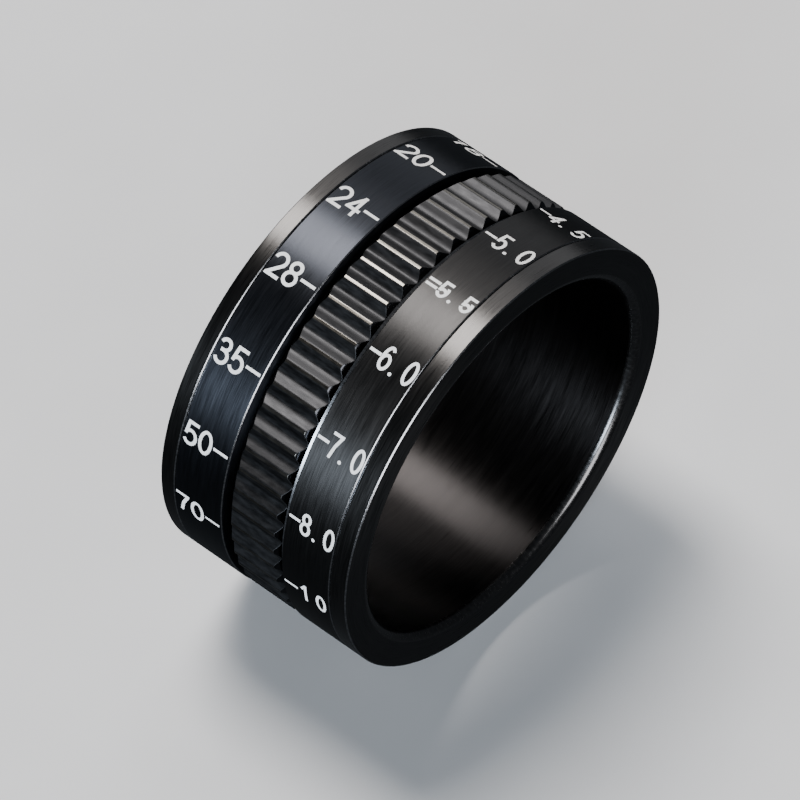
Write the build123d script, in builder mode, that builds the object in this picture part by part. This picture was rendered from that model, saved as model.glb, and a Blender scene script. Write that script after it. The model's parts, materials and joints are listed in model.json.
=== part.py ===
from build123d import *
from math import asin, atan2, copysign, cos, degrees, hypot, radians, sin, sqrt
import os

# A finger ring styled after a camera lens: a core sleeve carries two numbered scale bands and one
# knurled band, each free to turn, held between the sleeve's own rim and a pressed-on end collar.
# Millimetres. The ring's axis is Y, the origin is the middle of the bore, and +Z is up.

# Driving dimensions
ring_width = 12.0
outer_diameter = 24.0
bore_diameter = 20.2
sleeve_wall = 0.6
running_clearance = 0.05
sleeve_rim_width = 1.02
collar_rim_width = 0.90
scale_band_width = 3.04
rim_gap = 0.04
left_knurl_gap = 0.26
right_knurl_gap = 0.14
bore_edge_radius = 0.45
outer_edge_chamfer = 0.06
gap_edge_chamfer = 0.05

# Knurling: grooves along the axis leave flat-topped ribs, whose ends slope down to a low cone
rib_count = 60
rib_crest_radius = 11.96
rib_depth = 0.34
crest_share = 0.17
valley_share = 0.16
rib_end_run = 0.28
left_shoulder_width = 0.06
right_shoulder_width = 0.18
shoulder_drop = 0.02
shoulder_fall = 0.08
first_rib_angle = 4.45

# Marks: laser-cut numerals and ticks, each sunk into its band and flush with it
mark_depth = 0.05
left_digit = {"wide": 0.85, "high": 1.40, "stroke": 0.185}
right_digit = {"wide": 0.65, "high": 1.33, "stroke": 0.165}
left_labels = ["18", "20", "24", "28", "35", "50", "70"]
right_labels = ["4.5", "5.0", "5.5", "6.0", "7.0", "8.0", "10"]
left_label_angles = [42.0, 65.6, 90.1, 113.0, 136.9, 159.7, 182.6]
right_label_angles = [52.9, 75.1, 95.1, 117.1, 140.9, 163.1, 185.9]
sequence_starts = [0, 180]
slipped_label = {"label": "5.5", "start": 0, "turn": 1.5}

# Where each label's characters and ticks lie along the axis, from the left edge of a cell
left_digit_places = [4.97, 4.04]
left_tick_span = (3.09, 2.18)
right_tick_span = (-2.02, -2.71)
right_character_places = {3: [-2.73, -3.54, -4.20], 2: [-3.02, -4.05]}
long_tick_span = (-2.04, -2.88)
tick_thickness = 0.16
dot_radius = 0.10

outer_radius = outer_diameter / 2
bore_radius = bore_diameter / 2
sleeve_radius = bore_radius + sleeve_wall
band_bore_radius = sleeve_radius + running_clearance

# Stations along the axis, from the collar's end (+Y) to the sleeve's own rim (-Y)
collar_end = ring_width / 2
collar_inner = collar_end - collar_rim_width
left_band_outer = collar_inner - rim_gap
left_band_inner = left_band_outer - scale_band_width
rim_end = -ring_width / 2
rim_inner = rim_end + sleeve_rim_width
right_band_outer = rim_inner + rim_gap
right_band_inner = right_band_outer + scale_band_width
knurl_left = left_band_inner - left_knurl_gap
knurl_right = right_band_inner + right_knurl_gap


def ring_profile(points):
    """Draws a closed outline of (axial place, radius) points and turns it about the ring's axis."""
    with BuildSketch(Plane.YZ) as profile:
        with BuildLine():
            Polyline(*points, close=True)
        make_face()
    revolve(profile.sketch, axis=Axis.Y)


def band_blank(start, end):
    """A plain band between two axial places, with its outer corners broken."""
    low, high = sorted((start, end))
    bevel = gap_edge_chamfer
    ring_profile([
        (low, band_bore_radius),
        (low, outer_radius - bevel),
        (low + bevel, outer_radius),
        (high - bevel, outer_radius),
        (high, outer_radius - bevel),
        (high, band_bore_radius),
    ])


def strokes_of(character, wide, high):
    """The centre lines of a character in a box: open lines of points, and elliptical arcs given as
    centre x, centre y, x radius, y radius, start angle and angle swept."""
    middle = wide / 2
    low_bowl = 0.273 * high
    top_bowl = 0.227 * high
    lines = []
    arcs = []
    if character == "0":
        arcs = [(middle, high / 2, middle, high / 2, 0, 360)]
    elif character == "1":
        lines = [[(0.16 * wide, 0.76 * high), (0.58 * wide, high), (0.58 * wide, 0)]]
    elif character == "2":
        # The diagonal leaves the foot's corner and touches the bowl as a tangent.
        bowl = 0.285 * high
        reach = hypot(bowl, high - bowl)
        slope = degrees(atan2(high - bowl, bowl) - asin(bowl / reach))
        along = sqrt(reach**2 - bowl**2)
        meets = (along * cos(radians(slope)) * middle / bowl, along * sin(radians(slope)))
        lines = [[meets, (0, 0), (wide, 0)]]
        arcs = [(middle, high - bowl, middle, bowl, 175, slope - 265)]
    elif character == "3":
        lines = [[(0.36 * wide, 2 * low_bowl), (0.50 * wide, 2 * low_bowl)]]
        arcs = [
            (0.47 * wide, high - top_bowl, 0.42 * wide, top_bowl, 165, -255),
            (middle, low_bowl, middle, low_bowl, 90, -250),
        ]
    elif character == "4":
        bar = 0.29 * high
        stem = 0.74 * wide
        lines = [[(stem, 0), (stem, high)], [(stem, high), (0, bar), (wide, bar)]]
    elif character == "5":
        lines = [[(0.94 * wide, high), (0.17 * wide, high), (0.07 * wide, 0.49 * high)]]
        arcs = [(0.48 * wide, 0.315 * high, 0.52 * wide, 0.315 * high, 142, -295)]
    elif character == "6":
        arcs = [
            (middle, 0.315 * high, middle, 0.315 * high, 0, 360),
            (middle, high / 2, middle, high / 2, 48, 150),
        ]
    elif character == "7":
        lines = [[(0, high), (wide, high), (0.56 * wide, 0.50 * high), (0.36 * wide, 0)]]
    elif character == "8":
        arcs = [
            (middle, high - top_bowl, 0.42 * wide, top_bowl, 0, 360),
            (middle, low_bowl, middle, low_bowl, 0, 360),
        ]
    return lines, arcs


def lengthened(points, amount):
    """The same open line with both ends carried on by an amount."""
    before, start = Vector(*points[1]), Vector(*points[0])
    after, end = Vector(*points[-2]), Vector(*points[-1])
    first = start + (start - before).normalized() * amount
    last = end + (end - after).normalized() * amount
    return [first, *points[1:-1], last]


def character_face(character, size):
    """One character as a flat sketch, its lower left corner at the origin."""
    stroke = size["stroke"]
    half = stroke / 2
    wide = size["wide"] - stroke
    high = size["high"] - stroke
    if character == ".":
        with BuildSketch() as dot:
            with Locations((dot_radius, dot_radius)):
                Circle(dot_radius)
        return dot.sketch
    lines, arcs = strokes_of(character, wide, high)
    rings = [arc[:4] for arc in arcs if arc[5] == 360]
    bends = [arc for arc in arcs if arc[5] != 360]
    with BuildSketch() as face:
        for grow, mode in ((half, Mode.ADD), (-half, Mode.SUBTRACT)):
            for x, y, x_radius, y_radius in rings:
                with Locations((x, y)):
                    Ellipse(x_radius + grow, y_radius + grow, mode=mode)
        for x, y, x_radius, y_radius, start, sweep in bends:
            with BuildLine():
                EllipticalCenterArc((x, y), x_radius, y_radius, start, arc_size=sweep)
            trace(line_width=stroke)
        for points in lines:
            with BuildLine():
                Polyline(*lengthened(points, half))
            trace(line_width=stroke)
        with Locations((wide / 2, high / 2)):
            Rectangle(wide + stroke, high + stroke, mode=Mode.INTERSECT)
    return face.sketch.moved(Location((half, half, 0)))


def surface_plane(angle):
    """A plane on the ring's surface at an angle from +X towards +Z, seen from outside. Its x runs
    towards -Y, as the numerals read, and its y runs back towards smaller angles."""
    outward = Vector(cos(radians(angle)), 0, sin(radians(angle)))
    return Plane(origin=outward * (outer_radius - mark_depth), x_dir=(0, -1, 0), z_dir=outward)


def strikes_on(labels, angles):
    """The strikes of a scale, which runs twice round the ring: each a label, its angle and the half
    of the characters that it cuts. One label is cut in two halves with a slight turn between them."""
    strikes = []
    for start in sequence_starts:
        for label, angle in zip(labels, angles):
            if label == slipped_label["label"] and start == slipped_label["start"]:
                strikes.append((label, start + angle, "lower"))
                strikes.append((label, start + angle + slipped_label["turn"], "upper"))
            else:
                strikes.append((label, start + angle, "whole"))
    return strikes


def left_cells(label):
    """The characters of a left label with the axial place where each cell starts."""
    return list(zip(label, left_digit_places))


def right_cells(label):
    """The characters of a right label, the dot among them, with where each cell starts."""
    return list(zip(label, right_character_places[len(label)]))


def left_ticks(label):
    return left_tick_span


def right_ticks(label):
    return long_tick_span if len(label) == 2 else right_tick_span


def cut_face(face, size, half):
    """The half of a character's face that a strike cuts, or all of it."""
    if half == "whole":
        return face
    middle = size["high"] * (0.75 if half == "upper" else 0.25)
    with BuildSketch() as kept:
        add(face)
        with Locations((size["wide"] / 2, middle)):
            Rectangle(2 * size["wide"], size["high"] / 2, mode=Mode.INTERSECT)
    return kept.sketch


def extrude_numerals(strikes, cells, size):
    """Stands every numeral of a band up from its floor, past the band's surface."""
    faces = {}
    for label, angle, half in strikes:
        with BuildSketch(surface_plane(angle)) as numeral:
            for character, place in cells(label):
                if character == "." and half == "upper":
                    continue
                if character not in faces:
                    faces[character] = character_face(character, size)
                face = cut_face(faces[character], size, half)
                add(face.moved(Location((-place, -size["high"] / 2, 0))))
        extrude(numeral.sketch, amount=3 * mark_depth)


def extrude_ticks(strikes, spans):
    """Stands every tick of a band up from its floor, past the band's surface."""
    for label, angle, _ in strikes:
        start, end = spans(label)
        with BuildSketch(surface_plane(angle)) as tick:
            with Locations((-(start + end) / 2, 0)):
                Rectangle(start - end, tick_thickness)
        extrude(tick.sketch, amount=3 * mark_depth)


# Core sleeve: the tube against the finger, in one piece with the rim at the -Y end.
with BuildPart() as core_sleeve:
    with BuildSketch(Plane.YZ):
        with BuildLine():
            Polyline(
                (rim_end, bore_radius),
                (rim_end, outer_radius - outer_edge_chamfer),
                (rim_end + outer_edge_chamfer, outer_radius),
                (rim_inner - gap_edge_chamfer, outer_radius),
                (rim_inner, outer_radius - gap_edge_chamfer),
                (rim_inner, sleeve_radius),
                (collar_end, sleeve_radius),
                (collar_end, bore_radius),
                close=True,
            )
        make_face()
    revolve(axis=Axis.Y)
    bore_edges = core_sleeve.edges().filter_by(
        lambda edge: edge.geom_type == GeomType.CIRCLE and abs(edge.radius - bore_radius) < 0.01
    )
    fillet(bore_edges, bore_edge_radius)
core_sleeve.part.label = "core_sleeve"

# End collar: the +Y rim, pressed onto the end of the sleeve once the bands are on.
with BuildPart() as end_collar:
    ring_profile([
        (collar_inner, sleeve_radius),
        (collar_inner, outer_radius - gap_edge_chamfer),
        (collar_inner + gap_edge_chamfer, outer_radius),
        (collar_end - outer_edge_chamfer, outer_radius),
        (collar_end, outer_radius - outer_edge_chamfer),
        (collar_end, sleeve_radius),
    ])
end_collar.part.label = "end_collar"

# The numerals and ticks fill shallow pockets in the bands, each mark trimmed to the band's curve.
left_strikes = strikes_on(left_labels, left_label_angles)
right_strikes = strikes_on(right_labels, right_label_angles)

with BuildPart() as left_blank:
    band_blank(left_band_inner, left_band_outer)
with BuildPart() as right_blank:
    band_blank(right_band_outer, right_band_inner)

with BuildPart() as left_scale_numerals:
    extrude_numerals(left_strikes, left_cells, left_digit)
    add(left_blank.part, mode=Mode.INTERSECT)
left_scale_numerals.part.label = "left_scale_numerals"

with BuildPart() as left_scale_ticks:
    extrude_ticks(left_strikes, left_ticks)
    add(left_blank.part, mode=Mode.INTERSECT)
left_scale_ticks.part.label = "left_scale_ticks"

with BuildPart() as right_scale_numerals:
    extrude_numerals(right_strikes, right_cells, right_digit)
    add(right_blank.part, mode=Mode.INTERSECT)
right_scale_numerals.part.label = "right_scale_numerals"

with BuildPart() as right_scale_ticks:
    extrude_ticks(right_strikes, right_ticks)
    add(right_blank.part, mode=Mode.INTERSECT)
right_scale_ticks.part.label = "right_scale_ticks"

# Scale bands: plain bands with a pocket under every numeral and tick.
with BuildPart() as left_scale_band:
    add(left_blank.part)
    add(left_scale_numerals.part, mode=Mode.SUBTRACT)
    add(left_scale_ticks.part, mode=Mode.SUBTRACT)
left_scale_band.part.label = "left_scale_band"

with BuildPart() as right_scale_band:
    add(right_blank.part)
    add(right_scale_numerals.part, mode=Mode.SUBTRACT)
    add(right_scale_ticks.part, mode=Mode.SUBTRACT)
right_scale_band.part.label = "right_scale_band"

# Knurled band: ribs with straight flanks and flat valleys, turned down at both ends by a slope that
# runs to a shoulder just below the valleys. The shoulder is a low cone that falls to the band's end.
rib_pitch = 360 / rib_count
rib_root_radius = rib_crest_radius - rib_depth
shoulder_radius = rib_root_radius - shoulder_drop
rib_foot_left = knurl_left - left_shoulder_width
rib_foot_right = knurl_right + right_shoulder_width


def rib_point(radius, angle):
    """A point of the rib outline at an angle from +X towards +Z, on a plane that faces -Y."""
    return (radius * cos(radians(angle)), radius * sin(radians(angle)))


with BuildPart() as knurled_band:
    with BuildSketch(Plane.XZ.offset(-knurl_left)):
        with BuildLine():
            for rib in range(rib_count):
                crest = first_rib_angle + rib * rib_pitch
                crest_half = rib_pitch * crest_share / 2
                valley = crest + rib_pitch / 2
                valley_half = rib_pitch * valley_share / 2
                crest_end = rib_point(rib_crest_radius, crest + crest_half)
                valley_start = rib_point(rib_root_radius, valley - valley_half)
                valley_end = rib_point(rib_root_radius, valley + valley_half)
                next_crest = rib_point(rib_crest_radius, crest + rib_pitch - crest_half)
                ThreePointArc(
                    rib_point(rib_crest_radius, crest - crest_half),
                    rib_point(rib_crest_radius, crest),
                    crest_end,
                )
                Line(crest_end, valley_start)
                ThreePointArc(valley_start, rib_point(rib_root_radius, valley), valley_end)
                Line(valley_end, next_crest)
        make_face()
        Circle(band_bore_radius, mode=Mode.SUBTRACT)
    extrude(amount=knurl_left - knurl_right)
    beyond = rib_crest_radius + 1
    slope_run = rib_end_run * (beyond - shoulder_radius) / (rib_crest_radius - shoulder_radius)
    with BuildSketch(Plane.YZ):
        for foot, band_end in ((rib_foot_left, knurl_left), (rib_foot_right, knurl_right)):
            width = band_end - foot
            out = copysign(1, width)
            with BuildLine():
                Polyline(
                    (foot - out * slope_run, beyond),
                    (foot, shoulder_radius),
                    (foot + 2 * width, shoulder_radius - 2 * shoulder_fall),
                    (foot + 2 * width, beyond),
                    close=True,
                )
            make_face()
    revolve(axis=Axis.Y, mode=Mode.SUBTRACT)
knurled_band.part.label = "knurled_band"

os.makedirs("parts", exist_ok=True)
for piece in (
    core_sleeve,
    end_collar,
    left_scale_band,
    right_scale_band,
    knurled_band,
    left_scale_numerals,
    left_scale_ticks,
    right_scale_numerals,
    right_scale_ticks,
):
    export_step(piece.part, f"parts/{piece.part.label}.step")
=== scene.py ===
import bmesh
import bpy
import json
import math
from mathutils import Matrix, Vector
from mathutils.geometry import delaunay_2d_cdt


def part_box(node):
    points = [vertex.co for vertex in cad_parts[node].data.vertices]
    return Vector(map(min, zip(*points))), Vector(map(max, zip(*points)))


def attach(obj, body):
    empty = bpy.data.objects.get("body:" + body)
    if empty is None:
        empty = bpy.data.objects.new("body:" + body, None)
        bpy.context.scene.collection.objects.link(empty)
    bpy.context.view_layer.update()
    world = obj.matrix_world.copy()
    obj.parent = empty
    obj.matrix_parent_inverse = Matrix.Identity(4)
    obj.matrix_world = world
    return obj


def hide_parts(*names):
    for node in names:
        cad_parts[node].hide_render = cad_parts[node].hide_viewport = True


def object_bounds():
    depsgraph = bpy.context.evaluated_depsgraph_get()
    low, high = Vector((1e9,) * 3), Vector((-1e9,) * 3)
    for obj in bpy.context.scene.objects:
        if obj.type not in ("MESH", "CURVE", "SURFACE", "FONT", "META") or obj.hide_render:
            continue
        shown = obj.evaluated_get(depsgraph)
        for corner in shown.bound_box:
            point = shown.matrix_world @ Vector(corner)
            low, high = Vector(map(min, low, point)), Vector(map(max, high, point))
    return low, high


# The looks of a black steel spinner ring: fine meshes that stand for the CAD solids at the same sizes,
# procedural metal finishes, studio light and the camera. In metres, with the ring's axis along Y and
# +Z up. Angles round the ring go from +X towards +Z, in degrees.

MM = 0.001

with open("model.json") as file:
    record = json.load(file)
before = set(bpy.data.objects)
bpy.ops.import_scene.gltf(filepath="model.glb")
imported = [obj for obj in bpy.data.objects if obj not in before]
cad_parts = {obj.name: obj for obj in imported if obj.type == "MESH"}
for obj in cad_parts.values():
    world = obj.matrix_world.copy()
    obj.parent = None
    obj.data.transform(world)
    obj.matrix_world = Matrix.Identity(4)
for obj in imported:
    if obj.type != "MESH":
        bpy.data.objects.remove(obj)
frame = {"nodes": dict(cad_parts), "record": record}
cad_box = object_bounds()


# ---------------------------------------------------------------- sizes from the frame

def span(node):
    """The lowest and highest place of a CAD node along the ring's axis."""
    low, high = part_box(node)
    return low.y, high.y


def node_radii(node):
    """The smallest and largest distance of a CAD node's corners from the ring's axis."""
    radii = [math.hypot(v.co.x, v.co.z) for v in frame["nodes"][node].data.vertices]
    return min(radii), max(radii)


MOUNTS = {mount["name"]: mount for mount in frame["record"]["mounts"]}
BORE_RADIUS = MOUNTS["finger_bore"]["dims"]["r_mm"] * MM
RIM_END, COLLAR_END = span("core_sleeve")
COLLAR_INNER = span("end_collar")[0]
SLEEVE_RADIUS = node_radii("end_collar")[0]
OUTER_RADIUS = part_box("core_sleeve")[1].z
LEFT_BAND = span("left_scale_band")
RIGHT_BAND = span("right_scale_band")
KNURL = span("knurled_band")
BAND_BORE = node_radii("left_scale_band")[0]
RIM_GAP = LEFT_BAND[1] - COLLAR_INNER
RIM_INNER = RIGHT_BAND[0] + RIM_GAP

# ---------------------------------------------------------------- details, in metres and degrees

# The turned rings: rounded and chamfered edges, the steps in each, and the share of a chamfer's face
# that runs outwards.
BORE_EDGE = 0.45 * MM
OUTER_EDGE = 0.06 * MM
GAP_EDGE = 0.05 * MM
BEVEL_ROUNDING = 0.008 * MM
STEPS_AROUND = 720
BORE_FINE = 10
EDGE_FINE = 4
CHAMFER_SLOPES = (0.3, 0.95)

# The knurled band. The shares are of the way from the middle of a crest to the middle of a valley, and
# the edge angles say how far a rib's crest and valley edges are rounded.
RIB_COUNT = 60
RIB_DEPTH = 0.34 * MM
RIB_CREST_SHARE = 0.17
RIB_VALLEY_SHARE = 0.16
RIB_END_RUN = 0.28 * MM
RIB_END_EDGE = 0.02 * MM
CREST_EDGE_ANGLE = 0.26
VALLEY_EDGE_ANGLE = 0.85
AVERAGED_EACH_WAY = 8
LEFT_SHOULDER_WIDTH = 0.06 * MM
RIGHT_SHOULDER_WIDTH = 0.18 * MM
SHOULDER_DROP = 0.02 * MM
SHOULDER_FALL = 0.08 * MM
FIRST_RIB_ANGLE = 4.45
CREST_RADIUS = OUTER_RADIUS - 0.04 * MM

# The scales: each label's angle, its characters' places along the axis by the label's length, and its
# tick's two ends.
LEFT_DIGIT = {"wide": 0.85 * MM, "high": 1.40 * MM, "stroke": 0.185 * MM}
RIGHT_DIGIT = {"wide": 0.65 * MM, "high": 1.33 * MM, "stroke": 0.165 * MM}
LEFT_LABELS = ["18", "20", "24", "28", "35", "50", "70"]
RIGHT_LABELS = ["4.5", "5.0", "5.5", "6.0", "7.0", "8.0", "10"]
LEFT_ANGLES = [42.0, 65.6, 90.1, 113.0, 136.9, 159.7, 182.6]
RIGHT_ANGLES = [52.9, 75.1, 95.1, 117.1, 140.9, 163.1, 185.9]
SEQUENCE_STARTS = [0, 180]
SLIPPED_LABEL = {"label": "5.5", "start": 0, "turn": 1.5}
LEFT_PLACES = {2: [4.97 * MM, 4.04 * MM]}
RIGHT_PLACES = {3: [-2.73 * MM, -3.54 * MM, -4.20 * MM], 2: [-3.02 * MM, -4.05 * MM]}
LEFT_TICK_ENDS = {2: (3.09 * MM, 2.18 * MM)}
RIGHT_TICK_ENDS = {3: (-2.02 * MM, -2.71 * MM), 2: (-2.04 * MM, -2.88 * MM)}
TICK_THICKNESS = 0.16 * MM
DOT_RADIUS = 0.10 * MM
MARK_LIFT = 0.003 * MM
MARK_DEPTH = 0.02 * MM
MARK_STEP = 0.05 * MM
CUT_STEPS = range(-2, 22)

# Which of a piece's materials a face takes: first on the turned rings, then on the knurled band. The
# chamfers, the bore's round edges, the crests and the shoulders take lighter steels that paint their
# highlights, and the bore wall a darker one that paints shade.
STEEL, EDGE_HIGHLIGHT, BORE_WALL_SHADE, BORE_ROUND_HIGHLIGHT = 0, 1, 2, 3
FLANK, CREST_HIGHLIGHT, RIB_SLOPE, SHOULDER_HIGHLIGHT = 0, 1, 2, 3


# ---------------------------------------------------------------- meshes

def new_piece(name, vertices, faces, materials, finishes=None, smooth=True):
    """An object made from vertices and faces, each face with the finish listed for it, if any are."""
    mesh = bpy.data.meshes.new(name)
    mesh.from_pydata(vertices, [], faces)
    for material in materials:
        mesh.materials.append(material)
    for polygon in mesh.polygons:
        polygon.use_smooth = smooth
    for polygon, finish in zip(mesh.polygons, finishes or []):
        polygon.material_index = finish
    piece = bpy.data.objects.new(name, mesh)
    bpy.context.scene.collection.objects.link(piece)
    return piece


def bevelled(corners):
    """An outline of (place, radius, edge radius) corners, from (place, radius, kind, size) ones whose
    kind is "sharp", "round" or "bevel". A bevel is two corners, each very slightly rounded."""
    outline = []
    for i, (x, r, kind, size) in enumerate(corners):
        if kind != "bevel":
            outline.append((x, r, size if kind == "round" else 0))
            continue
        here = Vector((x, r))
        for neighbour in (corners[i - 1], corners[(i + 1) % len(corners)]):
            moved = here + (Vector(neighbour[:2]) - here).normalized() * size
            outline.append((moved.x, moved.y, BEVEL_ROUNDING))
    return outline


def softened(corners, fine):
    """The points of a closed outline of (place, radius, edge radius) corners, each rounded by an arc of
    so many steps, with a support point just outside each arc so that the flats shade flat."""
    outline = []
    for i, (x, r, edge) in enumerate(corners):
        here = Vector((x, r))
        before = Vector(corners[i - 1][:2]) - here
        after = Vector(corners[(i + 1) % len(corners)][:2]) - here
        if edge <= 0:
            outline.append(here)
            continue
        turn = before.angle(after)
        reach = edge / math.tan(turn / 2)
        start = here + before.normalized() * reach
        end = here + after.normalized() * reach
        inwards = (before.normalized() + after.normalized()).normalized()
        middle = here + inwards * edge / math.sin(turn / 2)
        room = min(before.length, after.length) / 2
        support = min(0.35 * edge + 0.01 * MM, 0.5 * (room - reach)) if room > reach else 0
        if support > 0:
            outline.append(start + before.normalized() * support)
        first = start - middle
        sweep = first.angle_signed(end - middle)
        for k in range(fine + 1):
            spin = Matrix.Rotation(-sweep * k / fine, 2)
            outline.append(middle + spin @ first)
        if support > 0:
            outline.append(end + after.normalized() * support)
    return outline


def finish_of(start, end, has_bore):
    """The finish of the faces swept by a stretch of a turned ring's outline: its chamfers take a lighter
    steel that paints their highlight, the wall against the finger a darker steel that paints shade inside
    the bore, and the round edges at its ends a lighter steel that paints their highlight."""
    rise = max(start.y, end.y) - BORE_RADIUS
    if has_bore and rise < BORE_EDGE + 0.01 * MM:
        return BORE_WALL_SHADE if rise < 0.001 * MM else BORE_ROUND_HIGHLIGHT
    run = end - start
    slope = abs(run.y) / max(run.length, 1e-12)
    return EDGE_HIGHLIGHT if CHAMFER_SLOPES[0] < slope < CHAMFER_SLOPES[1] else STEEL


def turned(name, corners, steels, fine=EDGE_FINE):
    """A solid of revolution about Y from a closed outline of corners."""
    outline = softened(bevelled(corners), fine)
    rows = len(outline)
    vertices = []
    faces = []
    finishes = []
    for i in range(STEPS_AROUND):
        angle = 2 * math.pi * i / STEPS_AROUND
        here = i * rows
        there = (i + 1) % STEPS_AROUND * rows
        for j, point in enumerate(outline):
            vertices.append((point.y * math.cos(angle), point.x, point.y * math.sin(angle)))
            following = (j + 1) % rows
            faces.append((here + j, here + following, there + following, there + j))
            finishes.append(finish_of(point, outline[following], BORE_WALL_SHADE < len(steels)))
    return outward(new_piece(name, vertices, faces, steels, finishes))


def outward(piece):
    """Turns every face of a closed mesh to point outwards."""
    work = bmesh.new()
    work.from_mesh(piece.data)
    bmesh.ops.recalc_face_normals(work, faces=work.faces)
    work.to_mesh(piece.data)
    work.free()
    return piece


def rib_section():
    """One rib's outline round the axis, from the middle of one valley over the crest to the next: rows
    of (angle in degrees from the crest's middle, radius, whether the stretch that follows is crest)."""
    half = 180 / RIB_COUNT
    crest_half = half * RIB_CREST_SHARE
    valley_half = half * RIB_VALLEY_SHARE
    flank = half - crest_half - valley_half
    middle = crest_half + flank / 2

    def sharp(angle):
        """Radius at an angle from the crest's middle, with sharp edges."""
        from_crest = min(abs(angle), 2 * half - abs(angle))
        rise = (half - valley_half - from_crest) / flank
        return CREST_RADIUS - RIB_DEPTH * (1 - min(1, max(0, rise)))

    def rounded(angle):
        """The same radius, averaged over a small turn, so that crests and valleys have round edges."""
        reach = CREST_EDGE_ANGLE if abs(angle) < middle else VALLEY_EDGE_ANGLE
        each_way = AVERAGED_EACH_WAY
        turns = [reach * k / each_way for k in range(-each_way, each_way + 1)]
        return sum(sharp(angle + turn) for turn in turns) / len(turns)

    places = [0.5 * (crest_half - CREST_EDGE_ANGLE)]
    places += [crest_half + CREST_EDGE_ANGLE * k / 4 for k in range(-4, 5)]
    places += [crest_half + 1.5 * CREST_EDGE_ANGLE, middle]
    valley_start = half - valley_half - VALLEY_EDGE_ANGLE
    places += [valley_start + (half - valley_start) * k / 9 for k in range(9)]
    places = [-place for place in reversed(places)] + places
    crest_end = crest_half - 0.4 * CREST_EDGE_ANGLE
    return [(place, rounded(place), abs(place) < crest_end) for place in places]


def knurl_end(end, out, width, shoulder, radius):
    """The rows of a column of the knurled band from its bore round one end to the rib's top, as places
    along the axis and radii, with the finish of the stretch that follows each."""
    foot = end - out * width
    height = radius - shoulder
    run = RIB_END_RUN * height / (CREST_RADIUS - shoulder)
    top = foot - out * run
    tip = RIB_END_EDGE
    return [
        (end, BAND_BORE, SHOULDER_HIGHLIGHT),
        (end, shoulder - 1.15 * SHOULDER_FALL, SHOULDER_HIGHLIGHT),
        (end, shoulder - SHOULDER_FALL, SHOULDER_HIGHLIGHT),
        (end - out * 0.08 * width, shoulder - 0.92 * SHOULDER_FALL, SHOULDER_HIGHLIGHT),
        (end - out * 0.92 * width, shoulder - 0.08 * SHOULDER_FALL, SHOULDER_HIGHLIGHT),
        (foot, shoulder, RIB_SLOPE),
        (foot - out * 0.08 * run, shoulder + 0.08 * height, RIB_SLOPE),
        (foot - out * 0.5 * run, shoulder + 0.5 * height, RIB_SLOPE),
        (top + out * tip, radius - tip * height / run, FLANK),
        (top + out * 0.15 * tip, radius - 0.25 * tip, CREST_HIGHLIGHT),
        (top - out * 0.6 * tip, radius, CREST_HIGHLIGHT),
        (top - out * 1.5 * tip, radius, CREST_HIGHLIGHT),
    ]


def knurled(name, steels):
    """The knurled band: a grid of columns round the axis and rows along it."""
    columns = []
    for rib in range(RIB_COUNT):
        crest = FIRST_RIB_ANGLE + rib * 360 / RIB_COUNT
        for place, radius, on_crest in rib_section():
            columns.append((math.radians(crest + place), radius, on_crest))
    shoulder = CREST_RADIUS - RIB_DEPTH - SHOULDER_DROP
    low, high = KNURL
    vertices = []
    faces = []
    finishes = []
    for i, (angle, radius, on_crest) in enumerate(columns):
        following = (i + 1) % len(columns)
        near = knurl_end(low, -1, RIGHT_SHOULDER_WIDTH, shoulder, radius)
        far = knurl_end(high, 1, LEFT_SHOULDER_WIDTH, shoulder, radius)
        rows = near + far[::-1]
        stretches = [row[2] for row in near + far[-2::-1]] + [SHOULDER_HIGHLIGHT]
        here = i * len(rows)
        there = following * len(rows)
        for j, (y, r, _) in enumerate(rows):
            vertices.append((r * math.cos(angle), y, r * math.sin(angle)))
            below = (j + 1) % len(rows)
            faces.append((here + j, here + below, there + below, there + j))
            on_flank = stretches[j] == CREST_HIGHLIGHT and not (on_crest and columns[following][2])
            finishes.append(FLANK if on_flank else stretches[j])
    return outward(new_piece(name, vertices, faces, steels, finishes))


# ---------------------------------------------------------------- numerals and ticks

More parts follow.
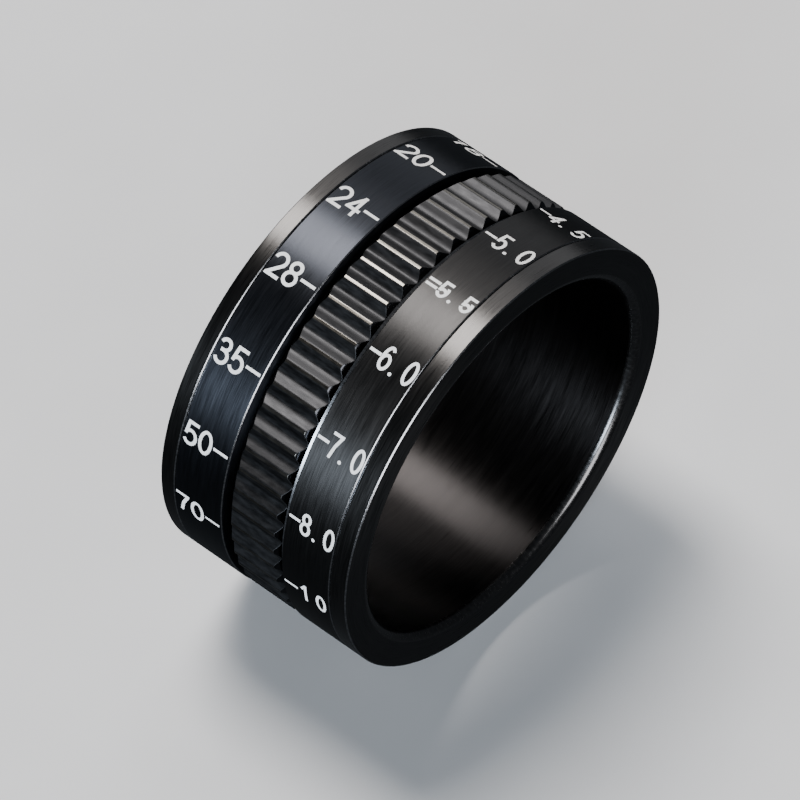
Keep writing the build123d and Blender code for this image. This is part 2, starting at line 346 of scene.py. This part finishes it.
def strokes_of(character, wide, high):
    """The centre lines of a character in a box: open lines of points, and elliptical arcs given as
    centre x, centre y, x radius, y radius, start angle and angle swept."""
    middle = wide / 2
    low_bowl = 0.273 * high
    top_bowl = 0.227 * high
    lines = []
    arcs = []
    if character == "0":
        arcs = [(middle, high / 2, middle, high / 2, 0, 360)]
    elif character == "1":
        lines = [[(0.16 * wide, 0.76 * high), (0.58 * wide, high), (0.58 * wide, 0)]]
    elif character == "2":
        bowl = 0.285 * high
        reach = math.hypot(bowl, high - bowl)
        slope = math.degrees(math.atan2(high - bowl, bowl) - math.asin(bowl / reach))
        along = math.sqrt(reach**2 - bowl**2)
        tilt = math.radians(slope)
        meets = (along * math.cos(tilt) * middle / bowl, along * math.sin(tilt))
        lines = [[meets, (0, 0), (wide, 0)]]
        arcs = [(middle, high - bowl, middle, bowl, 175, slope - 265)]
    elif character == "3":
        lines = [[(0.36 * wide, 2 * low_bowl), (0.50 * wide, 2 * low_bowl)]]
        arcs = [
            (0.47 * wide, high - top_bowl, 0.42 * wide, top_bowl, 165, -255),
            (middle, low_bowl, middle, low_bowl, 90, -250),
        ]
    elif character == "4":
        bar = 0.29 * high
        stem = 0.74 * wide
        lines = [[(stem, 0), (stem, high)], [(stem, high), (0, bar), (wide, bar)]]
    elif character == "5":
        lines = [[(0.94 * wide, high), (0.17 * wide, high), (0.07 * wide, 0.49 * high)]]
        arcs = [(0.48 * wide, 0.315 * high, 0.52 * wide, 0.315 * high, 142, -295)]
    elif character == "6":
        arcs = [
            (middle, 0.315 * high, middle, 0.315 * high, 0, 360),
            (middle, high / 2, middle, high / 2, 48, 150),
        ]
    elif character == "7":
        lines = [[(0, high), (wide, high), (0.56 * wide, 0.50 * high), (0.36 * wide, 0)]]
    elif character == "8":
        arcs = [
            (middle, high - top_bowl, 0.42 * wide, top_bowl, 0, 360),
            (middle, low_bowl, middle, low_bowl, 0, 360),
        ]
    return lines, arcs


def arc_points(arc):
    """The points of an elliptical arc, a short step apart."""
    x, y, x_radius, y_radius, start, sweep = arc
    count = max(8, int(abs(math.radians(sweep)) * max(x_radius, y_radius) / MARK_STEP))
    angles = [math.radians(start + sweep * k / count) for k in range(count + 1)]
    return [Vector((x + x_radius * math.cos(a), y + y_radius * math.sin(a))) for a in angles]


def stepped(points, close=False):
    """A line of points with more put in, so that no step is long."""
    result = []
    ends = points + [points[0]] if close else points
    for a, b in zip(ends, ends[1:]):
        count = max(1, math.ceil((b - a).length / MARK_STEP))
        result += [a.lerp(b, k / count) for k in range(count)]
    return result if close else result + [ends[-1]]


def ribbon(points, stroke, closed=False):
    """The outlines of a stroke along a line of points: one loop, or an outer and an inner loop."""
    sides = ([], [])
    count = len(points)
    for i, point in enumerate(points):
        if closed:
            before, after = points[i - 1], points[(i + 1) % count]
        else:
            before, after = points[max(i - 1, 0)], points[min(i + 1, count - 1)]
        into = (point - before).normalized() if (point - before).length > 0 else None
        out = (after - point).normalized() if (after - point).length > 0 else None
        into = into or out
        out = out or into
        along = (into + out).normalized()
        across = Vector((-along.y, along.x))
        stretch = 1 / max(0.3, across.dot(Vector((-into.y, into.x))))
        sides[0].append(point + across * stroke / 2 * stretch)
        sides[1].append(point - across * stroke / 2 * stretch)
    if closed:
        return sides
    return (sides[0] + sides[1][::-1],)


def clipped(loop, low, high):
    """A loop of points cut off at a cell's lowest and highest corner."""
    for axis, limit, keep in ((0, low.x, 1), (0, high.x, -1), (1, low.y, 1), (1, high.y, -1)):
        kept = []
        for a, b in zip(loop, loop[1:] + loop[:1]):
            inside_a = (a[axis] - limit) * keep >= -1e-12
            inside_b = (b[axis] - limit) * keep >= -1e-12
            if inside_a:
                kept.append(a)
            if inside_a != inside_b:
                kept.append(a.lerp(b, (limit - a[axis]) / (b[axis] - a[axis])))
        loop = kept
    return loop


def character_shape(character, size):
    """(solid loops, hole loops) of a character, its cell's lower left corner at the origin."""
    stroke = size["stroke"]
    half = stroke / 2
    wide = size["wide"] - stroke
    high = size["high"] - stroke
    if character == ".":
        centre = Vector((DOT_RADIUS, DOT_RADIUS))
        points = arc_points((0, 0, DOT_RADIUS, DOT_RADIUS, 0, 360))[:-1]
        return [[centre + point for point in points]], []
    lines, arcs = strokes_of(character, wide, high)
    shift = Vector((half, half))
    low, top = Vector((0, 0)), Vector((size["wide"], size["high"]))
    solids = []
    holes = []
    for arc in arcs:
        points = [p + shift for p in arc_points(arc)]
        if arc[5] == 360:
            outer, inner = ribbon(points[:-1], stroke, closed=True)
            if area(outer) < area(inner):
                outer, inner = inner, outer
            solids.append(outer)
            holes.append(inner)
        else:
            solids.append(clipped(ribbon(points, stroke)[0], low, top))
    for line in lines:
        points = [Vector(p) + shift for p in line]
        first = points[0] + (points[0] - points[1]).normalized() * half
        last = points[-1] + (points[-1] - points[-2]).normalized() * half
        outline = ribbon([first, *points[1:-1], last], stroke)[0]
        solids.append(stepped(clipped(outline, low, top), close=True))
    return solids, holes


def area(loop):
    """The area inside a loop, whichever way it runs."""
    return abs(sum(a.x * b.y - b.x * a.y for a, b in zip(loop, loop[1:] + loop[:1]))) / 2


def inside(point, loop):
    """Whether a point lies within a loop, by counting crossings."""
    found = False
    for a, b in zip(loop, loop[1:] + loop[:1]):
        if (a.y > point.y) != (b.y > point.y):
            if point.x < a.x + (point.y - a.y) * (b.x - a.x) / (b.y - a.y):
                found = not found
    return found


def triangles_of(solids, holes, cuts, solid_at):
    """Flat triangles between the outlines and along the cut lines, kept where there is solid."""
    points = []
    loops = []
    for loop in solids + holes:
        loops.append(list(range(len(points), len(points) + len(loop))))
        points += loop
    edges = []
    for line in cuts:
        edges += [(len(points) + k, len(points) + k + 1) for k in range(len(line) - 1)]
        points += line
    filled = delaunay_2d_cdt([p / MM for p in points], edges, loops, 0, 1e-6)
    corners = [Vector(c) * MM for c in filled[0]]
    kept = []
    for face in filled[2]:
        centre = sum((corners[i] for i in face), Vector((0, 0))) / len(face)
        if solid_at(centre):
            kept.append(tuple(face))
    return corners, kept


def filled_character(character, size, half):
    """Flat triangles that fill a character, or the upper or lower half of it."""
    solids, holes = character_shape(character, size)
    rings = solids[:len(holes)]
    others = solids[len(holes):]
    middle = size["high"] / 2
    cuts = [] if half == "whole" else [[Vector((k * MARK_STEP, middle)) for k in CUT_STEPS]]

    def solid_at(point):
        if half == "upper" and point.y < middle or half == "lower" and point.y > middle:
            return False
        if any(inside(point, loop) for loop in others):
            return True
        in_ring = any(inside(point, ring) for ring in rings)
        return in_ring and not any(inside(point, hole) for hole in holes)

    return triangles_of(solids, holes, cuts, solid_at)


def tick_shape(start, end):
    """Flat triangles that fill a tick between two places along the axis."""
    half = TICK_THICKNESS / 2
    corners = [(-start, -half), (-end, -half), (-end, half), (-start, half)]
    loop = stepped([Vector(corner) for corner in corners], close=True)
    return triangles_of([loop], [], [], lambda point: inside(point, loop))


class MarkMesh:
    """Thin marks gathered on one band, each wrapped onto the band's surface."""

    def __init__(self):
        self.vertices = []
        self.faces = []

    def wrap(self, shape, angle, offset):
        """Adds a flat shape, moved by an offset, at an angle round the ring: a top face just above
        the surface, walls and a floor just below it."""
        corners, faces = shape
        base = len(self.vertices)
        count = len(corners)
        for radius in (OUTER_RADIUS + MARK_LIFT, OUTER_RADIUS - MARK_DEPTH):
            for corner in corners:
                flat = corner + offset
                theta = math.radians(angle) - flat.y / OUTER_RADIUS
                self.vertices.append((radius * math.cos(theta), -flat.x, radius * math.sin(theta)))
        borders = {}
        for face in faces:
            self.faces.append(tuple(base + i for i in face))
            self.faces.append(tuple(base + count + i for i in reversed(face)))
            for a, b in zip(face, face[1:] + face[:1]):
                borders[(a, b)] = True
        for a, b in borders:
            if (b, a) not in borders:
                self.faces.append((base + a, base + count + a, base + count + b, base + b))

    def piece(self, name, material):
        return outward(new_piece(name, self.vertices, self.faces, [material], smooth=False))


def strikes_on(labels, angles):
    """The strikes of a scale, which runs twice round the ring: each a label, its angle and the half
    of the characters that it cuts. One label is cut in two halves with a slight turn between them."""
    strikes = []
    for start in SEQUENCE_STARTS:
        for label, angle in zip(labels, angles):
            if label == SLIPPED_LABEL["label"] and start == SLIPPED_LABEL["start"]:
                strikes.append((label, start + angle, "lower"))
                strikes.append((label, start + angle + SLIPPED_LABEL["turn"], "upper"))
            else:
                strikes.append((label, start + angle, "whole"))
    return strikes


def numerals(name, strikes, places, size, material):
    """A band's numerals, each character's shape made once."""
    marks = MarkMesh()
    shapes = {}
    for label, angle, half in strikes:
        for character, place in zip(label, places[len(label)]):
            if (character, half) not in shapes:
                shapes[character, half] = filled_character(character, size, half)
            marks.wrap(shapes[character, half], angle, Vector((-place, -size["high"] / 2)))
    return marks.piece(name, material)


def ticks(name, strikes, spans, material):
    """A band's ticks, one to each strike."""
    marks = MarkMesh()
    for label, angle, _ in strikes:
        start, end = spans[len(label)]
        marks.wrap(tick_shape(start, end), angle, Vector((0, 0)))
    return marks.piece(name, material)


# ---------------------------------------------------------------- materials

def node_material(name):
    """A material with one shader, its node tree and the shader."""
    material = bpy.data.materials.new(name)
    material.use_nodes = True
    tree = material.node_tree
    tree.nodes.clear()
    output = tree.nodes.new("ShaderNodeOutputMaterial")
    shader = tree.nodes.new("ShaderNodeBsdfPrincipled")
    tree.links.new(shader.outputs["BSDF"], output.inputs["Surface"])
    return material, tree, shader


def add(tree, kind, **values):
    """A new node with some of its settings."""
    node = tree.nodes.new(kind)
    for key, value in values.items():
        setattr(node, key, value)
    return node


def math_node(tree, operation, a, b=None):
    """The result of a calculation on one or two values, each a number or another node's output."""
    node = add(tree, "ShaderNodeMath", operation=operation)
    for slot, value in enumerate((a, b)):
        if value is None:
            continue
        if isinstance(value, (int, float)):
            node.inputs[slot].default_value = value
        else:
            tree.links.new(value, node.inputs[slot])
    return node.outputs[0]


def ramp(tree, value, stops):
    """A value turned into a shade by (place, shade) stops."""
    node = add(tree, "ShaderNodeValToRGB")
    elements = node.color_ramp.elements
    while len(elements) > 1:
        elements.remove(elements[-1])
    elements[0].position, elements[0].color = stops[0][0], grey(stops[0][1])
    for place, shade in stops[1:]:
        element = elements.new(place)
        element.color = grey(shade)
    tree.links.new(value, node.inputs["Fac"])
    return node.outputs["Color"]


def grey(shade):
    """A shade with its alpha, from a colour or from one number for grey."""
    return (*shade, 1) if isinstance(shade, tuple) else (shade, shade, shade, 1)


def turned_coordinates(tree, around, along):
    """Texture coordinates that stretch a noise round the ring's axis: (direction round the axis, place
    along it) in three dimensions and the distance from the axis in the fourth."""
    place = add(tree, "ShaderNodeTexCoord").outputs["Object"]
    split = add(tree, "ShaderNodeSeparateXYZ")
    tree.links.new(place, split.inputs[0])
    squares = math_node(tree, "ADD", math_node(tree, "POWER", split.outputs[0], 2.0),
                        math_node(tree, "POWER", split.outputs[2], 2.0))
    distance = math_node(tree, "SQRT", squares)
    x = math_node(tree, "MULTIPLY", math_node(tree, "DIVIDE", split.outputs[0], distance), around)
    z = math_node(tree, "MULTIPLY", math_node(tree, "DIVIDE", split.outputs[2], distance), around)
    y = math_node(tree, "MULTIPLY", split.outputs[1], along)
    joined = add(tree, "ShaderNodeCombineXYZ")
    for slot, value in enumerate((x, y, z)):
        tree.links.new(value, joined.inputs[slot])
    return joined.outputs[0], math_node(tree, "MULTIPLY", distance, along)


def turned_noise(tree, around, along):
    """Noise drawn out round the ring's axis."""
    vector, radial = turned_coordinates(tree, around, along)
    noise = add(tree, "ShaderNodeTexNoise", noise_dimensions="4D")
    noise.inputs["Scale"].default_value = 1.0
    noise.inputs["Detail"].default_value = 2.0
    tree.links.new(vector, noise.inputs["Vector"])
    tree.links.new(radial, noise.inputs["W"])
    return noise.outputs["Fac"]


def brushed_black(name, base, anisotropy, roughness, brush_height):
    """Black-plated steel brushed round the ring: dark metal, a highlight drawn out across the
    brushing, and fine lines in its colour, roughness and height."""
    material, tree, shader = node_material(name)
    shader.inputs["Metallic"].default_value = 1.0
    shader.inputs["Anisotropic"].default_value = anisotropy
    shader.inputs["Anisotropic Rotation"].default_value = 0.25
    tangent = add(tree, "ShaderNodeTangent", direction_type="RADIAL", axis="Y")
    tree.links.new(tangent.outputs[0], shader.inputs["Tangent"])
    fine = turned_noise(tree, around=9.0, along=26000.0)
    coarse = turned_noise(tree, around=3.0, along=4200.0)
    lines = math_node(tree, "ADD", math_node(tree, "MULTIPLY", fine, 0.65),
                      math_node(tree, "MULTIPLY", coarse, 0.35))
    dark = tuple(0.72 * c for c in base)
    light = tuple(1.35 * c for c in base)
    tree.links.new(ramp(tree, lines, [(0.33, dark), (0.67, light)]), shader.inputs["Base Color"])
    low, high = 0.8 * roughness, 1.25 * roughness
    tree.links.new(ramp(tree, lines, [(0.30, low), (0.70, high)]), shader.inputs["Roughness"])
    bump = add(tree, "ShaderNodeBump")
    bump.inputs["Strength"].default_value = 1.0
    bump.inputs["Distance"].default_value = brush_height
    tree.links.new(lines, bump.inputs["Height"])
    tree.links.new(bump.outputs[0], shader.inputs["Normal"])
    return material


def polished_gunmetal(name, base, roughness, grain_height):
    """Burnished black plating, smoother than the bands, with a faint even grain."""
    material, tree, shader = node_material(name)
    shader.inputs["Metallic"].default_value = 1.0
    place = add(tree, "ShaderNodeTexCoord").outputs["Object"]
    stretch = add(tree, "ShaderNodeMapping")
    stretch.inputs["Scale"].default_value = (6000.0, 1500.0, 6000.0)
    tree.links.new(place, stretch.inputs["Vector"])
    grain = add(tree, "ShaderNodeTexNoise")
    grain.inputs["Scale"].default_value = 1.0
    grain.inputs["Detail"].default_value = 3.0
    tree.links.new(stretch.outputs[0], grain.inputs["Vector"])
    value = grain.outputs["Fac"]
    dark = tuple(0.85 * c for c in base)
    light = tuple(1.15 * c for c in base)
    tree.links.new(ramp(tree, value, [(0.35, dark), (0.65, light)]), shader.inputs["Base Color"])
    tree.links.new(ramp(tree, value, [(0.3, 0.85 * roughness), (0.7, 1.15 * roughness)]),
                   shader.inputs["Roughness"])
    if grain_height:
        bump = add(tree, "ShaderNodeBump")
        bump.inputs["Strength"].default_value = 1.0
        bump.inputs["Distance"].default_value = grain_height
        tree.links.new(value, bump.inputs["Height"])
        tree.links.new(bump.outputs[0], shader.inputs["Normal"])
    return material


def laser_mark(name):
    """Bare steel left matt by the laser, light grey with a fine grain."""
    material, tree, shader = node_material(name)
    place = add(tree, "ShaderNodeTexCoord").outputs["Object"]
    grain = add(tree, "ShaderNodeTexNoise")
    grain.inputs["Scale"].default_value = 22000.0
    grain.inputs["Detail"].default_value = 2.0
    tree.links.new(place, grain.inputs["Vector"])
    value = grain.outputs["Fac"]
    greys = [(0.3, (0.77, 0.765, 0.76)), (0.7, (0.96, 0.955, 0.955))]
    tree.links.new(ramp(tree, value, greys), shader.inputs["Base Color"])
    tree.links.new(ramp(tree, value, [(0.3, 0.5), (0.7, 0.7)]), shader.inputs["Roughness"])
    return material


def floor_material():
    """A plain matt floor, very slightly mottled."""
    material, tree, shader = node_material("pale_floor")
    noise = add(tree, "ShaderNodeTexNoise")
    noise.inputs["Scale"].default_value = 90.0
    noise.inputs["Detail"].default_value = 4.0
    tree.links.new(add(tree, "ShaderNodeTexCoord").outputs["Object"], noise.inputs["Vector"])
    greys = [(0.3, (0.70, 0.70, 0.71)), (0.7, (0.74, 0.74, 0.75))]
    tree.links.new(ramp(tree, noise.outputs["Fac"], greys), shader.inputs["Base Color"])
    shader.inputs["Roughness"].default_value = 0.9
    return material


# ---------------------------------------------------------------- the ring's pieces

BODY_STEEL = brushed_black("black_steel_body", (0.060, 0.058, 0.057), 0.667, 0.300, 0.0004 * MM)
LEFT_STEEL = brushed_black("black_steel_left_band", (0.0400, 0.043, 0.051), 0.83, 0.385, 0.0005 * MM)
RIGHT_STEEL = brushed_black("black_steel_right_band", (0.060, 0.0585, 0.0585), 0.87, 0.430, 0.0006 * MM)
# Painted shade: the bore wall's steel is much darker than the body's, standing for the shade inside the
# finger hole.
BORE_SHADE_STEEL = brushed_black("black_steel_bore_painted_shade", (0.0185, 0.0172, 0.0172), 0.76, 0.34, 0.0018 * MM)
# Painted highlight: the chamfers and the knurled band's shoulders and ends take a steel far lighter than
# the body's, so that their glints show white.
EDGE_HIGHLIGHT_STEEL = polished_gunmetal("edges_painted_highlight", (0.28, 0.28, 0.29), 0.25, 0)
# Painted highlight: the bore's round edges take a steel lighter than the body's, so that their highlight
# shows.
BORE_EDGE_HIGHLIGHT_STEEL = polished_gunmetal("bore_edges_painted_highlight", (0.105, 0.102, 0.102), 0.25, 0)
KNURL_STEEL = polished_gunmetal("gunmetal_knurling", (0.041, 0.0412, 0.0435), 0.49, 0.0002 * MM)
# Painted highlight: the flat tops of the knurl's crests take a light, warm steel that paints their cream
# highlight stripes.
CREST_HIGHLIGHT_STEEL = polished_gunmetal("knurl_crests_painted_highlight", (0.15, 0.14, 0.125), 0.29, 0.0001 * MM)
SLOPE_STEEL = polished_gunmetal("knurl_slopes", (0.050, 0.051, 0.056), 0.14, 0)
MARK_STEEL = laser_mark("laser_marks")

SLEEVE = turned("core_sleeve_fine", [
    (RIM_END, BORE_RADIUS, "round", BORE_EDGE),
    (RIM_END, OUTER_RADIUS, "bevel", OUTER_EDGE),
    (RIM_INNER, OUTER_RADIUS, "bevel", GAP_EDGE),
    (RIM_INNER, SLEEVE_RADIUS, "sharp", 0),
    (COLLAR_END, SLEEVE_RADIUS, "sharp", 0),
    (COLLAR_END, BORE_RADIUS, "round", BORE_EDGE),
], [BODY_STEEL, EDGE_HIGHLIGHT_STEEL, BORE_SHADE_STEEL, BORE_EDGE_HIGHLIGHT_STEEL], BORE_FINE)
COLLAR = turned("end_collar_fine", [
    (COLLAR_INNER, SLEEVE_RADIUS, "sharp", 0),
    (COLLAR_INNER, OUTER_RADIUS, "bevel", GAP_EDGE),
    (COLLAR_END, OUTER_RADIUS, "bevel", OUTER_EDGE),
    (COLLAR_END, SLEEVE_RADIUS, "sharp", 0),
], [BODY_STEEL, EDGE_HIGHLIGHT_STEEL])


def scale_band(name, place, steel):
    """A smooth band with chamfered edges, between two places along the axis."""
    low, high = place
    return turned(name, [
        (low, BAND_BORE, "sharp", 0),
        (low, OUTER_RADIUS, "bevel", GAP_EDGE),
        (high, OUTER_RADIUS, "bevel", GAP_EDGE),
        (high, BAND_BORE, "sharp", 0),
    ], [steel, EDGE_HIGHLIGHT_STEEL])


LEFT = scale_band("left_scale_band_fine", LEFT_BAND, LEFT_STEEL)
RIGHT = scale_band("right_scale_band_fine", RIGHT_BAND, RIGHT_STEEL)
KNURLED = knurled("knurled_band_fine", [KNURL_STEEL, CREST_HIGHLIGHT_STEEL, SLOPE_STEEL, EDGE_HIGHLIGHT_STEEL])
LEFT_STRIKES = strikes_on(LEFT_LABELS, LEFT_ANGLES)
RIGHT_STRIKES = strikes_on(RIGHT_LABELS, RIGHT_ANGLES)
LEFT_NUMERALS = numerals("left_numerals_fine", LEFT_STRIKES, LEFT_PLACES, LEFT_DIGIT, MARK_STEEL)
RIGHT_NUMERALS = numerals("right_numerals_fine", RIGHT_STRIKES, RIGHT_PLACES, RIGHT_DIGIT, MARK_STEEL)
LEFT_TICKS = ticks("left_ticks_fine", LEFT_STRIKES, LEFT_TICK_ENDS, MARK_STEEL)
RIGHT_TICKS = ticks("right_ticks_fine", RIGHT_STRIKES, RIGHT_TICK_ENDS, MARK_STEEL)

for piece, body, node, slot in (
    (SLEEVE, "core", "core_sleeve", "black_steel_body"),
    (COLLAR, "core", "end_collar", "black_steel_body"),
    (LEFT, "left_band", "left_scale_band", "black_steel_bands"),
    (RIGHT, "right_band", "right_scale_band", "black_steel_bands"),
    (KNURLED, "centre_band", "knurled_band", "gunmetal_knurling"),
    (LEFT_NUMERALS, "left_band", "left_scale_numerals", "laser_marks"),
    (LEFT_TICKS, "left_band", "left_scale_ticks", "laser_marks"),
    (RIGHT_NUMERALS, "right_band", "right_scale_numerals", "laser_marks"),
    (RIGHT_TICKS, "right_band", "right_scale_ticks", "laser_marks"),
):
    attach(piece, body)
    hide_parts(node)

# ---------------------------------------------------------------- floor, light and camera

FLOOR_Z = cad_box[0][2]
FLOOR_SIZE = 1.6
LIGHT_DISTANCE = 0.60
# The share along +Y of the directions that the ring's surface reflects to the camera.
MIRROR_LEAN = 0.407

bpy.ops.mesh.primitive_plane_add(size=FLOOR_SIZE, location=(0, 0, FLOOR_Z))
FLOOR = bpy.context.object
FLOOR.name = "floor"
FLOOR.data.materials.append(floor_material())
FLOOR.visible_glossy = False


def area_light(name, direction, size, power, colour):
    """A rectangular light that faces the ring from a direction."""
    light = bpy.data.lights.new(name, "AREA")
    light.shape = "RECTANGLE"
    light.size, light.size_y = size
    light.energy = power
    light.color = colour
    lamp = bpy.data.objects.new(name, light)
    towards = Vector(direction).normalized()
    lamp.location = towards * LIGHT_DISTANCE
    lamp.rotation_euler = towards.to_track_quat("Z", "Y").to_euler()
    bpy.context.scene.collection.objects.link(lamp)


def reflected(phi):
    """A direction at an angle round the ring's axis, from which the ring reflects light to the camera."""
    flat = math.sqrt(1 - MIRROR_LEAN**2)
    return (flat * math.cos(math.radians(phi)), MIRROR_LEAN, flat * math.sin(math.radians(phi)))


area_light("overhead_softbox", reflected(83.6), (0.215, 0.26), 4.7, (1.0, 0.97, 0.94))
area_light("overhead_edge", reflected(57), (0.22, 0.26), 0.45, (1.0, 0.98, 0.97))
area_light("right_fill", reflected(24), (0.30, 0.44), 0.40, (0.95, 0.97, 1.0))
area_light("left_softbox", (-0.91, -0.37, 0.185), (0.24, 0.22), 4.1, (0.76, 0.88, 1.0))
area_light("front_left_softbox", (-0.40, -0.90, 0.16), (0.40, 0.28), 3.2, (0.95, 0.97, 1.0))

WORLD = bpy.data.worlds.new("studio")
bpy.context.scene.world = WORLD
WORLD.use_nodes = True
WORLD.node_tree.nodes["Background"].inputs["Color"].default_value = (0.80, 0.89, 1.0, 1)
WORLD.node_tree.nodes["Background"].inputs["Strength"].default_value = 0.06

CAMERA_AZIMUTH = math.radians(-49.28)
CAMERA_ELEVATION = math.radians(51.43)
CAMERA_DISTANCE = 0.371
CAMERA_RIGHT = -0.00062
CAMERA_UP = -0.00013
CAMERA_LENS = 336.9

back = Vector((
    math.sin(CAMERA_AZIMUTH) * math.cos(CAMERA_ELEVATION),
    -math.cos(CAMERA_AZIMUTH) * math.cos(CAMERA_ELEVATION),
    math.sin(CAMERA_ELEVATION),
))
right = Vector((math.cos(CAMERA_AZIMUTH), math.sin(CAMERA_AZIMUTH), 0))
up = back.cross(right)
camera_data = bpy.data.cameras.new("camera")
camera_data.lens = CAMERA_LENS
camera_data.sensor_width = 36
camera = bpy.data.objects.new("camera", camera_data)
turn = Matrix((right, up, back)).transposed().to_4x4()
stand = back * CAMERA_DISTANCE + right * CAMERA_RIGHT + up * CAMERA_UP
camera.matrix_world = Matrix.Translation(stand) @ turn
bpy.context.scene.collection.objects.link(camera)
bpy.context.scene.camera = camera
